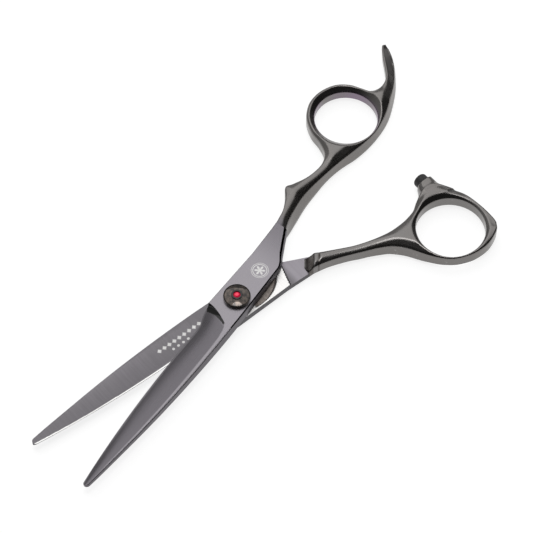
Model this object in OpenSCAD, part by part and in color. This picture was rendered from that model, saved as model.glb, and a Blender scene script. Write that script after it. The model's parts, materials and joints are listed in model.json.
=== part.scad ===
// Hair cutting shears with offset finger rings, a finger rest and a dial pivot.
// Origin: the pivot axis on the surface that the shears lie on.
// X runs towards the blade tips, Y towards the thumb ring, Z up to the dial.
// Each half is drawn closed, with its tip on +X, and then swung open.

/* [Pose] */
// Angle between the two blades as drawn
open_angle = 15.5; // [0:0.5:70]

/* [Blades] */
// Pivot to blade tip
blade_reach = 77.5; // [65:0.5:90]
// Thickness of one half at the pivot
half_t = 2.7; // [2.2:0.1:3.2]
// Thickness of one blade at the tip
tip_t = 1.3; // [0.9:0.1:2]
// Height of the ride faces over the resting surface
ride_z = 3.6; // [3.2:0.1:4.2]
// Gap that the friction washer keeps between the halves
ride_gap = 0.2; // [0.1:0.05:0.4]
// Distance behind the pivot where each handle is welded on
weld_x = 27; // [25:0.5:28]

/* [Handles] */
// Diameter of the finger hole
finger_d = 20.5; // [19:0.5:22]
// Diameter of the thumb hole
thumb_d = 22; // [21:0.5:23.5]
// Height of the rings along the hole axis
ring_h = 6.6; // [5.5:0.1:7]
// Wall of the finger ring
finger_wall = 2.2; // [1.8:0.1:2.6]
// Wall of the thumb ring
thumb_wall = 2; // [1.6:0.1:2.4]
// Diameter of the rubber bumper
bumper_d = 4.8; // [4:0.1:5.2]
// How far the bumper stands out of its boss
bumper_out = 2.9; // [1.5:0.1:2.9]

/* [Pivot] */
// Diameter of the tension dial
dial_d = 8.4; // [7.8:0.1:9.2]
// Height of the dial over the upper half
dial_h = 1.6; // [1.3:0.1:2]
// Diameter of the screw's journal
journal_d = 4; // [3.4:0.1:4.2]
// Diameter of the screw where it is driven into the lower half
seat_d = 5; // [4.6:0.1:5.4]
// Diameter of the threaded end of the screw
thread_d = 3; // [2.6:0.1:3.2]
// Diameter of the red stone
gem_d = 2.2; // [1.8:0.1:2.6]

/* [Hidden] */

$fn = 64;
far = 100;

half_open = open_angle / 2;
front_z = ride_z + ride_gap / 2;
rear_z = ride_z - ride_gap / 2;
hub_top = front_z + half_t;
hub_bottom = rear_z - half_t;
root_t = 2.8;

// Blade outline: both long sides are shallow arcs
spine_y = 5.5;
spine_r = 517;
edge_y = -4.05;
edge_r = 390;
tip_r = 0.7;
hub_rear_y = 4.5;
heel_y = -5.9;

// Rings and handles, in the closed frame of their own half
finger_at = [-76.4, -11.4];
thumb_at = [-68, 21.8];
handle_mid = ring_h / 2;
boss_x = -73.2;
boss_end = 3.3;
boss_d = 6.4;
socket_d = 3;
socket_deep = 4;

// Pivot hardware
bore_clear = 0.03;
bush_d = 5.6;
bush_inset = 0.03;
well_d = 7.4;
well_deep = 1;
flange_t = 0.3;
head_d = 9;
head_t = 1.2;
spanner_x = 3;
spanner_d = 1.2;
rim_t = 0.4;
dial_gap = 0.15;
cavity = 0.45;
cavity_r = 3.2;
plate_t = 0.35;
plate_drop = 0.2;
notch_r = 2.7;
notch_d = 0.5;
spring_t = 0.25;
lift = 0.05;
bezel_d = thread_d;
lip_t = 0.12;

well_z = hub_top - well_deep;
flange_z = well_z + flange_t;
spring_z = flange_z + lift;
plate_z = hub_top - plate_t;
dial_z = hub_top + dial_gap;
dial_top = hub_top + dial_h;
screw_top = dial_top - 0.8;
gem_z = dial_top - 0.25;

function arc_y(x, at, y, r) = y + (x - at) * (x - at) / (2 * r);
function spine(x) = arc_y(x, 12, spine_y, -spine_r);
function edge(x) = arc_y(x, 25, edge_y, edge_r);

// Outline of one half from the weld to the tip, seen from its outer face
function blank_outline() = concat(
    [[-weld_x, -5.5], [-16, -5.4], [0, -5.8], [7.5, heel_y], [11, -5.2], [15, edge(15)]],
    [for (x = [20 : 6 : 74]) [x, edge(x)]],
    [for (a = [-70 : 20 : 50]) [blade_reach - 1, 0.4] + [1.1 * cos(a), 1 * sin(a)]],
    [for (x = [74 : -6 : 14]) [x, spine(x)]],
    [[6, 5.4], [0, 5.2], [-8, 4.8], [-16, hub_rear_y]],
    [for (a = [75 : -15 : 30]) [-16.6, 2.6] + 1.9 * [-sin(75 - a), cos(75 - a)]],
    [[-19.6, 1.7], [-21.4, 0], [-23.4, -1], [-weld_x, -2]]);

// Everything that turns with the upper half
module front() {
    rotate([0, 0, half_open])
        children();
}

// Everything that stays with the lower half
module rear() {
    rotate([0, 0, -half_open])
        children();
}

// Removes the stock over the bevelled outer face of the blade
module bevel_cut() {
    band_y = 3.5;
    bevel = 20;
    side = 1.4;
    fall = atan((half_t - tip_t) / (blade_reach - 10));
    translate([10, band_y, half_t])
        rotate([0, fall, -side])
            rotate([bevel, 0, 0])
                translate([-3, -20, 0])
                    cube([far, 20, 10]);
}

// Thins the blade from the pivot to the tip
module taper_cut() {
    fall = atan((half_t - tip_t) / (blade_reach - 10));
    translate([10, -20, half_t])
        rotate([0, fall, 0])
            cube([far, 40, 10]);
}

// Hollow ground face along the blade, fading out at the tip
module hollow_cut() {
    hollow_r = 14;
    hollow_deep = 0.35;
    translate([14, 0.8, hollow_deep - hollow_r])
        rotate([0, 90.35, -0.6])
            cylinder(r = hollow_r, h = 56, $fn = 128);
}

// Ground away beside the half-moon ride behind the pivot
module ride_pocket() {
    difference() {
        translate([-5.5, 7, -1])
            cylinder(r = 12.3, h = 1.3);
        translate([0, 0, -2])
            cylinder(d = 10.4, h = 4);
        translate([-4, -20, -2])
            cube([40, 40, 4]);
    }
}

// One blade blank: ride face on z = 0, outer face on top, root for the handle behind
module blade_blank() {
    difference() {
        union() {
            linear_extrude(half_t)
                polygon(blank_outline());
            translate([-weld_x, -5.5, -root_t])
                cube([2.4, 3.7, root_t + 1]);
        }
        bevel_cut();
        taper_cut();
        hollow_cut();
        ride_pocket();
        relief_cut();
    }
}

// Cove between the ride face and the root of the handle
module relief_cut() {
    relief = 0.6;
    cove = 2.2;
    translate([-24.6 + cove, -far / 2, relief - cove])
        rotate([-90, 0, 0])
            cylinder(r = cove, h = far);
    translate([-24.6 + cove, -far / 2, -far + relief])
        cube([5, far, far]);
}

// Upper half: blade, hub, bore for the bush and well for the dial's springs
module front_blade() {
    color([0.40, 0.39, 0.40])
        front()
            difference() {
                translate([0, 0, front_z])
                    blade_blank();
                translate([0, 0, front_z - 1])
                    cylinder(d = bush_d, h = half_t + 2);
                translate([0, 0, well_z])
                    cylinder(d = well_d, h = half_t);
            }
}

// Lower half: the same blank turned over, bored for the screw
module rear_blade() {
    color([0.45, 0.45, 0.45])
        rear()
            difference() {
                translate([0, 0, rear_z])
                    rotate([180, 0, 0])
                        blade_blank();
                translate([0, 0, hub_bottom - 1])
                    cylinder(d = seat_d, h = half_t + 2);
                translate([0, 0, hub_bottom - 1])
                    cylinder(d = head_d, h = 1 + head_t - hub_bottom);
            }
}

// Rounded handle section: 14 points of a squared ellipse
function squared(t) = sign(t) * pow(abs(t), 0.75);
function section(s) = [for (a = [0 : 360 / 14 : 359])
    [s[0], (s[1] + s[2]) / 2 + (s[1] - s[2]) / 2 * squared(cos(a)),
     (s[3] + s[4]) / 2 + (s[4] - s[3]) / 2 * squared(sin(a))]];

// Solid through a row of handle sections
module skin(rows) {
    n = 14;
    last = len(rows) - 1;
    points = [for (s = rows) for (p = section(s)) p];
    sides = [for (i = [0 : last - 1]) for (j = [0 : n - 1])
        [i * n + j, i * n + (j + 1) % n, (i + 1) * n + (j + 1) % n, (i + 1) * n + j]];
    ends = [[for (j = [n - 1 : -1 : 0]) j], [for (j = [0 : n - 1]) last * n + j]];
    polyhedron(points, concat(sides, ends));
}

// Ring wall with rounded rims, standing on the resting surface
module ring_wall(at, hole_d, wall) {
    round_r = wall / 2 - 0.05;
    translate([at[0], at[1], handle_mid])
        rotate_extrude($fn = 72)
            translate([hole_d / 2 + wall / 2, 0])
                hull()
                    for (s = [-1, 1])
                        translate([0, s * (ring_h / 2 - round_r)])
                            scale([wall / 2 / round_r, 1])
                                circle(round_r, $fn = 14);
}

// Rounded bead, used where handle members run together
module bead(x, y, r, h) {
    translate([x, y, handle_mid])
        scale([1, 1, h / 2 / r])
            sphere(r, $fn = 20);
}

// Sections as [x, near side, far side, bottom, top]; the finger rest is their last stretch
finger_rows = [
    [-weld_x, -1.7, -5.7, 0.9, 6.4],
    [-32, -2.5, -6.4, 0.6, 6.3],
    [-38, -3.5, -8.3, 0.4, 6.2],
    [-43, -4.2, -9.6, 0.3, 6.2],
    [-48, -4.4, -9.0, 0.3, 6.2],
    [-53, -4.1, -7.7, 0.3, 6.2],
    [-58, -3.4, -7.5, 0.3, 6.3],
    [-63, -2.2, -6.8, 0.2, 6.4],
    [-68, -1.0, -4.8, 0.1, 6.5],
    [-74, -0.1, -3.0, 0.0, 6.6],
    [-80, -0.2, -3.6, 0.1, 6.5],
    [-86, -1.3, -6.0, 0.2, 6.3],
    [-90, -2.7, -8.6, 0.6, 6.0],
    [-94, -4.6, -8.9, 0.9, 5.8],
    [-98, -6.8, -10.9, 1.1, 5.6],
    [-102, -9.6, -14.2, 1.2, 5.5],
    [-106, -13.2, -17.2, 1.5, 5.3],
    [-108, -15.2, -18.2, 1.9, 5.0],
    [-109.2, -16.6, -18.2, 2.4, 4.5]];

// Finger handle with its ring, knuckle spur and finger rest
module front_handle() {
    color([0.16, 0.15, 0.15])
        front()
            resize([0, 0, 0])
                difference() {
                    union() {
                        skin(finger_rows);
                        ring_wall(finger_at, finger_d, finger_wall);
                        hull() {
                            bead(-42.6, -11.1, 0.5, 3.6);
                            bead(-38, -6, 1.4, 5);
                            bead(-47, -6.5, 1.6, 5);
                        }
                        hull() {
                            bead(-58, -6.2, 1.3, 5.4);
                            bead(-63.6, -10, 0.9, 5.6);
                            bead(-65, -5, 1.2, 5.6);
                        }
                        hull() {
                            bead(-92, -7.4, 1.6, 4.8);
                            bead(-87.8, -11.2, 0.9, 5.4);
                            bead(-86, -6, 1.6, 5.6);
                        }
                    }
                    translate([finger_at[0], finger_at[1], -1])
                        cylinder(d = finger_d, h = ring_h + 2, $fn = 72);
                }
}

thumb_rows = [
    [-weld_x, 6.3, 1.9, 0.9, 6.3],
    [-32, 7.6, 3.6, 0.6, 6.3],
    [-38, 10.0, 6.8, 0.3, 6.3],
    [-43, 12.2, 8.8, 0.2, 6.4],
    [-48, 14.8, 10.2, 0.1, 6.5],
    [-52, 18.6, 10.9, 0.0, 6.6],
    [-55, 23.6, 11.2, 0.0, 6.6],
    [-58, 28, 12, 0.1, 6.5]];

// Thumb handle with its ring and the boss that holds the bumper
module rear_handle() {
    color([0.17, 0.16, 0.16])
        rear()
            resize([0, 0, 0])
                difference() {
                    union() {
                        skin(thumb_rows);
                        ring_wall(thumb_at, thumb_d, thumb_wall);
                        hull() {
                            bead(-78.6, 30, 0.9, 5.4);
                            bead(-79.2, 24, 0.9, 6);
                            bead(-74.5, 33, 0.9, 6);
                        }
                        hull() {
                            boss_disc(boss_end, boss_d - 0.6);
                            boss_disc(boss_end + 1, boss_d);
                            bead(-78.4, 15.6, 1, 6);
                            bead(-66, 9.7, 0.9, 5.6);
                        }
                    }
                    translate([thumb_at[0], thumb_at[1], -1])
                        cylinder(d = thumb_d, h = ring_h + 2, $fn = 72);
                    translate([boss_x, boss_end - 1, handle_mid])
                        rotate([-90, 0, 0])
                            cylinder(d = socket_d, h = 1 + socket_deep, $fn = 32);
                }
}

// Slice across the bumper's boss
module boss_disc(y, d) {
    translate([boss_x, y, handle_mid])
        rotate([-90, 0, 0])
            cylinder(d = d, h = 2, $fn = 28);
}

// Rubber stop pressed into the thumb ring's boss
module bumper() {
    stub_r = bumper_d / 2;
    round_r = 0.8;
    color([0.07, 0.07, 0.07])
        rear()
            translate([boss_x, boss_end, handle_mid])
                rotate([90, 0, 0])
                    rotate_extrude()
                        polygon(concat(
                            [[0, -socket_deep], [socket_d / 2, -socket_deep], [socket_d / 2, 0], [stub_r, 0]],
                            [for (a = [0 : 15 : 90])
                                [stub_r - round_r + round_r * cos(a), bumper_out - round_r + round_r * sin(a)]],
                            [[0, bumper_out]]));
}

// Screw driven into the lower half; its head, with two spanner holes, is a foot of the shears
module pivot_screw() {
    color([0.55, 0.54, 0.53])
        difference() {
            union() {
                cylinder(d = head_d, h = head_t);
                cylinder(d = seat_d, h = rear_z);
                cylinder(d = journal_d, h = plate_z - plate_drop);
                cylinder(d = thread_d, h = screw_top);
            }
            for (s = [-1, 1])
                translate([s * spanner_x, 0, -1])
                    cylinder(d = spanner_d, h = 1 + head_t / 2);
        }
}

// Washer that keeps the ride faces apart at the pivot
module friction_washer() {
    color([0.85, 0.83, 0.78])
        translate([0, 0, rear_z])
            difference() {
                cylinder(d = 9.6, h = ride_gap);
                translate([0, 0, -1])
                    cylinder(d = journal_d + 2 * bore_clear, h = 2);
            }
}

// Flanged nylon bush pressed into the upper half
module pivot_bush() {
    color([0.9, 0.89, 0.84])
        difference() {
            union() {
                translate([0, 0, front_z + bush_inset])
                    cylinder(d = bush_d, h = well_z - front_z);
                translate([0, 0, well_z])
                    cylinder(d = well_d - 0.2, h = flange_t);
            }
            translate([0, 0, front_z - 1])
                cylinder(d = journal_d + 2 * bore_clear, h = half_t + 2);
        }
}

// Dished spring that the dial presses on through the click plate
module spring_washer() {
    rise = plate_z - spring_z - spring_t;
    color([0.75, 0.74, 0.72])
        translate([0, 0, spring_z])
            rotate_extrude()
                polygon([[journal_d / 2 + 0.15, rise], [3.3, 0], [3.4, spring_t - 0.1],
                         [journal_d / 2 + 0.15, rise + spring_t]]);
}

// Notched plate keyed to the screw
module click_plate() {
    color([0.68, 0.67, 0.65])
        translate([0, 0, plate_z])
            difference() {
                cylinder(d = well_d - 0.4, h = plate_t);
                translate([0, 0, -1])
                    cylinder(d = thread_d, h = 2);
                for (a = [0 : 30 : 330])
                    rotate([0, 0, a])
                        translate([notch_r, 0, plate_t])
                            sphere(d = notch_d, $fn = 16);
            }
}

// Domed dial, hollow underneath for the click spring
module tension_dial() {
    rim_r = dial_d / 2;
    bore_r = thread_d / 2 + 0.05;
    flat_r = 1.9;
    rise = dial_top - dial_z;
    dome = rise - rim_t;
    color([0.10, 0.10, 0.10])
        translate([0, 0, dial_z])
            rotate_extrude()
                polygon(concat(
                    [[bore_r, cavity], [cavity_r, cavity], [cavity_r, 0], [rim_r - 0.1, 0], [rim_r, 0.1]],
                    [for (a = [0 : 10 : 80])
                        [flat_r + (rim_r - flat_r) * cos(a), rim_t + dome * sin(a)]],
                    [[flat_r, rise], [bore_r, rise]]));
}

// Leaf spring in the dial, with three bumps that click over the plate's notches
module click_spring() {
    leaf_t = 0.15;
    leaf_z = dial_z + cavity - leaf_t;
    bump_z = hub_top + 0.04;
    color([0.8, 0.79, 0.76])
        difference() {
            union() {
                translate([0, 0, leaf_z])
                    cylinder(d = 2 * cavity_r - 0.2, h = leaf_t);
                for (a = [0, 120, 240])
                    rotate([0, 0, a])
                        translate([notch_r, 0, bump_z])
                            cylinder(d = notch_d, h = leaf_z + leaf_t - bump_z);
            }
            translate([0, 0, leaf_z - 1])
                cylinder(d = thread_d + 0.1, h = 2);
        }
}

// Dark cup that holds the stone on the dial
module gem_bezel() {
    cup_z = screw_top + plate_drop;
    color([0.08, 0.08, 0.08])
        difference() {
            union() {
                translate([0, 0, cup_z])
                    cylinder(d = bezel_d, h = dial_top - cup_z);
                translate([0, 0, dial_top])
                    cylinder(d = bezel_d + 0.5, h = lip_t);
            }
            translate([0, 0, gem_z])
                cylinder(d = gem_d, h = 2);
        }
}

// Cut red stone: girdle and crown
module gem() {
    girdle = 0.12;
    crown = 0.32;
    color([0.86, 0.05, 0.16])
        translate([0, 0, gem_z]) {
            cylinder(d = gem_d - 0.02, h = girdle, $fn = 8);
            translate([0, 0, girdle])
                cylinder(d1 = gem_d - 0.02, d2 = gem_d * 0.55, h = crown, $fn = 8);
        }
}

front_blade();
front_handle();
rear_blade();
rear_handle();
bumper();
pivot_screw();
friction_washer();
pivot_bush();
spring_washer();
click_plate();
tension_dial();
click_spring();
gem_bezel();
gem();
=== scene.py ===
import json
import math

import bmesh
import bpy
import numpy as np
from mathutils import Matrix, Vector


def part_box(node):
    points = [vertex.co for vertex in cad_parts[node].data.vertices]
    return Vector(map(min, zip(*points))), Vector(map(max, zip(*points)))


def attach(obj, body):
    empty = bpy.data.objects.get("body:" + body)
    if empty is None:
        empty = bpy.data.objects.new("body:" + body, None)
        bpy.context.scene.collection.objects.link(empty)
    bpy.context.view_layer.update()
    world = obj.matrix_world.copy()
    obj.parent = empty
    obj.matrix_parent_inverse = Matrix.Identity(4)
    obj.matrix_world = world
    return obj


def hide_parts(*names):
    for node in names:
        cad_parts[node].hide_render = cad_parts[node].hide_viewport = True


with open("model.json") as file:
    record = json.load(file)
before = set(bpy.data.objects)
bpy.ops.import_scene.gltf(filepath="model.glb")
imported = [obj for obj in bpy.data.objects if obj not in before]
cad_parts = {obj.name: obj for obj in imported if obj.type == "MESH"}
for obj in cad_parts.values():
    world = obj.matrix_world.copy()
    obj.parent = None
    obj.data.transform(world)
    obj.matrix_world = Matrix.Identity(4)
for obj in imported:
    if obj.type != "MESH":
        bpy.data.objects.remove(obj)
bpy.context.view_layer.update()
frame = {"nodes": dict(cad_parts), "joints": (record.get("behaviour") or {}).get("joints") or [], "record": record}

# Hair cutting shears. Shapes are worked out in millimetres, in the closed frame of their own half: the pivot
# axis is the origin, +X runs to the tip, +Y towards the thumb ring and +Z up to the dial.
MM = 0.001
PIVOT = next(j for j in frame["joints"] if j["name"] == "blade_pivot")
STOP_PLAY = 0.5  # degrees that the halves are still open at the pivot's lower limit
HALF_OPEN = math.radians((STOP_PLAY - PIVOT["range_deg"][0]) / 2)
HALVES = {"upper_half": HALF_OPEN, "lower_half": -HALF_OPEN}


def low(node):
    """Lowest corner of a CAD node, in millimetres."""
    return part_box(node)[0] / MM


def high(node):
    """Highest corner of a CAD node, in millimetres."""
    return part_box(node)[1] / MM


def closed(point, body):
    """A point of the open shears, in the closed frame of that half."""
    a = -HALVES[body]
    return np.array([
        point[0] * math.cos(a) - point[1] * math.sin(a),
        point[0] * math.sin(a) + point[1] * math.cos(a)])


def opening_centre(name, body):
    """Middle of a finger hole, in the closed frame of its half."""
    box = next(o for o in frame["record"]["physics"]["openings"] if o["name"] == name)["box_m"]
    return closed([(a + b) / 2 / MM for a, b in zip(*box)], body)


RIDE_LOW = low("friction_washer").z
RIDE_HIGH = high("friction_washer").z
HUB_TOP = high("front_blade").z
HUB_T = HUB_TOP - RIDE_HIGH
DIAL_R = (high("tension_dial").x - low("tension_dial").x) / 2
RING_MID = high("rear_handle").z / 2
BOSS_END = 3.3  # y of the boss's face behind the rubber stop


# ---------------------------------------------------------------- lines and distances

AT_ONCE = 4000  # points handled together, which keeps the arrays small


def table(*points):
    """A function of x that runs straight between the given points."""
    xs, ys = zip(*points)
    return lambda x: np.interp(x, xs, ys)


def spline(points, step=0.3):
    """Smooth open line through given points, as a dense row of points."""
    p = np.array(points, float)
    p = np.vstack([2 * p[0] - p[1], p, 2 * p[-1] - p[-2]])
    rows = []
    for a, b, c, d in zip(p, p[1:], p[2:], p[3:]):
        count = max(2, int(np.linalg.norm(c - b) / step))
        t = np.linspace(0, 1, count, endpoint=False)[:, None]
        rows.append(0.5 * (2 * b + (c - a) * t + (2 * a - 5 * b + 4 * c - d) * t**2
                           + (3 * b - a - 3 * c + d) * t**3))
    return np.vstack(rows + [p[-2:-1]])


def distance(xy, line):
    """Distance from each point to an open line."""
    a, b = line[:-1], line[1:]
    ab = b - a
    squared = (ab**2).sum(1)
    out = np.empty(len(xy))
    for i in range(0, len(xy), AT_ONCE):
        ap = xy[i:i + AT_ONCE, None] - a
        t = np.clip((ap * ab).sum(2) / squared, 0, 1)
        out[i:i + AT_ONCE] = np.sqrt(((ap - t[..., None] * ab)**2).sum(2).min(1))
    return out


def inside(xy, outline):
    """True for each point inside a closed outline."""
    a, b = outline, np.roll(outline, -1, 0)
    rise = np.where(b[:, 1] == a[:, 1], 1e-12, b[:, 1] - a[:, 1])
    out = np.empty(len(xy), bool)
    for i in range(0, len(xy), AT_ONCE):
        x, y = xy[i:i + AT_ONCE, :1], xy[i:i + AT_ONCE, 1:]
        spans = (a[:, 1] > y) != (b[:, 1] > y)
        left = x < a[:, 0] + (y - a[:, 1]) * (b[:, 0] - a[:, 0]) / rise
        out[i:i + AT_ONCE] = (spans & left).sum(1) % 2 == 1
    return out


def smooth_min(a, b, k):
    """The lesser of two fields, blended over k."""
    h = np.clip(0.5 + 0.5 * (b - a) / k, 0, 1)
    return b + (a - b) * h - k * h * (1 - h)


def smooth_max(a, b, k):
    """The greater of two fields, blended over k."""
    return -smooth_min(-a, -b, k)


def step_up(x, start, end):
    """0 before start, 1 after end, and an even S between them."""
    t = np.clip((x - start) / (end - start), 0, 1)
    return t * t * (3 - 2 * t)


# ---------------------------------------------------------------- meshing a field

CORNERS = np.array([[i, j, k] for i in (0, 1) for j in (0, 1) for k in (0, 1)])
EDGES = [(a, b) for a in range(8) for b in range(a + 1, 8) if abs(CORNERS[a] - CORNERS[b]).sum() == 1]
LONGEST_MOVE = 0.2  # how far relax may carry a vertex back to the surface
LEAST_SLOPE = 0.05  # squared slope below which it is moved by less


def grid_field(field, low_corner, high_corner, h):
    """A field sampled on a grid, plane by plane."""
    axes = [np.arange(a, b + h, h) for a, b in zip(low_corner, high_corner)]
    gx, gy = np.meshgrid(axes[0], axes[1], indexing="ij")
    return field.on_grid(np.stack([gx.ravel(), gy.ravel()], 1), axes[2]).reshape(
        len(axes[0]), len(axes[1]), len(axes[2]))


def surface_net(f, low_corner, h):
    """Vertices and quads of the surface where a sampled field, negative inside, changes sign."""
    solid = f < 0
    shape = np.array(f.shape) - 1
    count = np.zeros(shape, int)
    for c in CORNERS:
        count += solid[c[0]:c[0] + shape[0], c[1]:c[1] + shape[1], c[2]:c[2] + shape[2]]
    cells = np.argwhere((count > 0) & (count < 8))
    number = np.full(shape, -1)
    number[tuple(cells.T)] = np.arange(len(cells))
    values = np.stack([f[tuple((cells + c).T)] for c in CORNERS], 1)
    total = np.zeros((len(cells), 3))
    hits = np.zeros(len(cells))
    for a, b in EDGES:
        fa, fb = values[:, a], values[:, b]
        cut = (fa < 0) != (fb < 0)
        t = np.where(cut, fa / np.where(cut, fa - fb, 1), 0)[:, None]
        total += np.where(cut[:, None], CORNERS[a] + t * (CORNERS[b] - CORNERS[a]), 0)
        hits += cut
    verts = (cells + total / hits[:, None]) * h + low_corner
    quads = []
    for axis in range(3):
        u, v = [np.eye(3, dtype=int)[i] for i in ((axis + 1) % 3, (axis + 2) % 3)]
        lower = np.take(solid, range(f.shape[axis] - 1), axis)
        upper = np.take(solid, range(1, f.shape[axis]), axis)
        for start, flip in ((lower & ~upper, False), (~lower & upper, True)):
            e = np.argwhere(start)
            quad = np.stack([number[tuple((e - d).T)] for d in (0 * u, u, u + v, v)], 1)
            quads.append(quad[:, ::-1] if flip else quad)
    return verts, np.vstack(quads)


def neighbour_sum(values, links):
    """Sum of a value over each vertex's neighbours."""
    total = np.zeros_like(values)
    for a, b in ((0, 1), (1, 0)):
        np.add.at(total, links[:, a], values[links[:, b]])
    return total


def relax(verts, quads, field):
    """Evens out the mesh and puts each vertex back on the surface. Gives the field's normals too, evened out
    over their neighbours."""
    links = np.vstack([quads[:, [i, (i + 1) % 4]] for i in range(4)])
    count = neighbour_sum(np.ones((len(verts), 1)), links)
    for _ in range(2):
        verts = verts + 0.5 * (neighbour_sum(verts, links) / count - verts)
    value, slope = field.slope(verts)
    squared = (slope**2).sum(1)[:, None]
    move = value[:, None] * slope / np.maximum(squared, LEAST_SLOPE)
    verts = verts - np.clip(move, -LONGEST_MOVE, LONGEST_MOVE)
    normals = slope / np.sqrt(squared)
    for _ in range(2):
        normals = normals + 0.5 * neighbour_sum(normals, links)
        normals /= np.linalg.norm(normals, axis=1)[:, None]
    return verts, normals


# ---------------------------------------------------------------- a handle's field

GROUND = 0.05  # lowest height of a handle
TOP_LIMIT = 6.42  # greatest height of a handle
WALL_FOOT, WALL_SHOULDER = 1.5, 5.0  # the walls lean between these heights
UNDER_NEAR, UNDER_FAR, UNDER_SLOPE = 1.5, 1.3, 0.8  # underside at the two walls, and its fall inwards
HOLE_FOOT = 1.5  # height of the lower bevel at the finger hole
RIM_SLOPE = 0.85  # how the upper bevel climbs away from the hole
RIDGE_BLEND, TOP_BLEND, LIMIT_BLEND, UNDER_BLEND, EDGE_BLEND = 1.05, 0.5, 0.4, 0.35, 0.3
# These bring the fields of sloped faces back to about a true distance.
TOP_SCALE, UNDER_SCALE, RIM_SCALE, HOLE_SCALE = 0.88, 0.8, 0.76, 0.7


class Handle:
    """Field of one handle: a plan outline that changes with height, a ridged top and bottom, and a finger
    hole whose inner edge is bevelled above the height lip.

    near and crest are the thumb-side wall at its foot and at its shoulder, and far is the other wall.
    shoulder and beyond are rows of x, height and slope for the top as it rises inwards from those two walls.
    drop and rise are how far the top and the underside close in over x, and extra changes the body before
    the hole is cut."""

    def __init__(
            self, near, crest, far, hole, radius, lip, shoulder, beyond, drop=None, rise=None, extra=None):
        self.near, self.crest, self.far = [spline(p) for p in (near, crest, far)]
        self.hole, self.radius, self.lip = np.array(hole), radius, lip
        self.shoulder, self.beyond = [list(zip(*rows)) for rows in (shoulder, beyond)]
        self.drop, self.rise, self.extra = drop, rise, extra

    def plan(self, xy):
        """Everything that depends on x and y alone."""
        x = xy[:, 0]
        walls = []
        for line in (self.near, self.crest):
            outline = np.vstack([line, self.far[::-1]])
            d = distance(xy, np.vstack([outline, outline[:1]]))
            walls.append(np.where(inside(xy, outline), -d, d))
        from_near, from_far = distance(xy, self.crest), distance(xy, self.far)
        out = np.linalg.norm(xy - self.hole, axis=1) - self.radius
        near_z, near_slope = [np.interp(x, self.shoulder[0], v) for v in self.shoulder[1:]]
        far_z, far_slope = [np.interp(x, self.beyond[0], v) for v in self.beyond[1:]]
        top = smooth_min(near_z + near_slope * from_near, far_z + far_slope * from_far, RIDGE_BLEND)
        top = smooth_min(top, np.full(len(xy), TOP_LIMIT), LIMIT_BLEND)
        floor = smooth_max(
            UNDER_NEAR - UNDER_SLOPE * from_near, UNDER_FAR - UNDER_SLOPE * from_far, EDGE_BLEND)
        floor = smooth_max(floor, np.full(len(xy), GROUND), EDGE_BLEND)
        if self.drop:
            top = top - self.drop(x)
            floor = floor + self.rise(x)
        return walls[0], walls[1], out, top, floor

    def combine(self, plan, xy, z):
        """The field at height z over points with that plan."""
        foot, shoulder, out, top, floor = plan
        lean = np.clip((z - WALL_FOOT) / (WALL_SHOULDER - WALL_FOOT), 0, 1)
        body = smooth_max(foot + (shoulder - foot) * lean, (z - top) * TOP_SCALE, TOP_BLEND)
        body = smooth_max(body, (floor - z) * UNDER_SCALE, UNDER_BLEND)
        if self.extra:
            body = self.extra(body, xy, z)
        rim = np.maximum(out, 0)
        body = smooth_max(body, (z - self.lip - RIM_SLOPE * rim) * RIM_SCALE, UNDER_BLEND)
        body = smooth_max(body, (HOLE_FOOT - rim - z) * HOLE_SCALE, EDGE_BLEND)
        return smooth_max(body, -out, EDGE_BLEND)

    def on_grid(self, xy, heights):
        """The field at each of some heights over every point."""
        plan = self.plan(xy)
        return np.stack([self.combine(plan, xy, z) for z in heights], 1)

    def slope(self, p, e=0.08):
        """Value and gradient at each point, over a step e."""
        xy, z = p[:, :2], p[:, 2]
        plan = self.plan(xy)
        value = self.combine(plan, xy, z)
        ahead = [self.combine(self.plan(xy + step), xy + step, z) for step in ((e, 0), (0, e))]
        ahead.append(self.combine(plan, xy, z + e))
        return value, np.stack([a - value for a in ahead], 1) / e


# ---------------------------------------------------------------- meshes and pieces

def shade_smooth(mesh):
    """Smooth shading on every face."""
    mesh.polygons.foreach_set("use_smooth", [True] * len(mesh.polygons))


def clean(mesh, merge=None):
    """Merges vertices closer than merge, if that is given, and turns every face outwards."""
    bm = bmesh.new()
    bm.from_mesh(mesh)
    if merge:
        bmesh.ops.remove_doubles(bm, verts=bm.verts, dist=merge)
    bmesh.ops.recalc_face_normals(bm, faces=bm.faces)
    if bm.calc_volume(signed=True) < 0:
        bmesh.ops.reverse_faces(bm, faces=bm.faces)
    bm.to_mesh(mesh)
    bm.free()


def new_object(name, verts, faces, body, normals=None):
    """A mesh object from points in the closed frame of a half, riding on its body."""
    mesh = bpy.data.meshes.new(name)
    mesh.from_pydata((np.asarray(verts) * MM).tolist(), [], [list(map(int, q)) for q in faces])
    mesh.validate()
    shade_smooth(mesh)
    if normals is not None:
        mesh.normals_split_custom_set_from_vertices(normals.tolist())
    obj = bpy.data.objects.new(name, mesh)
    bpy.context.scene.collection.objects.link(obj)
    obj.rotation_euler.z = HALVES.get(body, 0)
    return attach(obj, body)


# ---------------------------------------------------------------- handles

def build_handle(name, node, body, field, low_corner, high_corner, h):
    """Meshes a handle's field, on a grid of cell h between two corners, in place of its CAD node."""
    verts, quads = surface_net(grid_field(field, low_corner, high_corner, h), np.array(low_corner), h)
    verts, normals = relax(verts, quads, field)
    obj = new_object(name, verts, quads, body, normals)
    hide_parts(node)
    return obj


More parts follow.
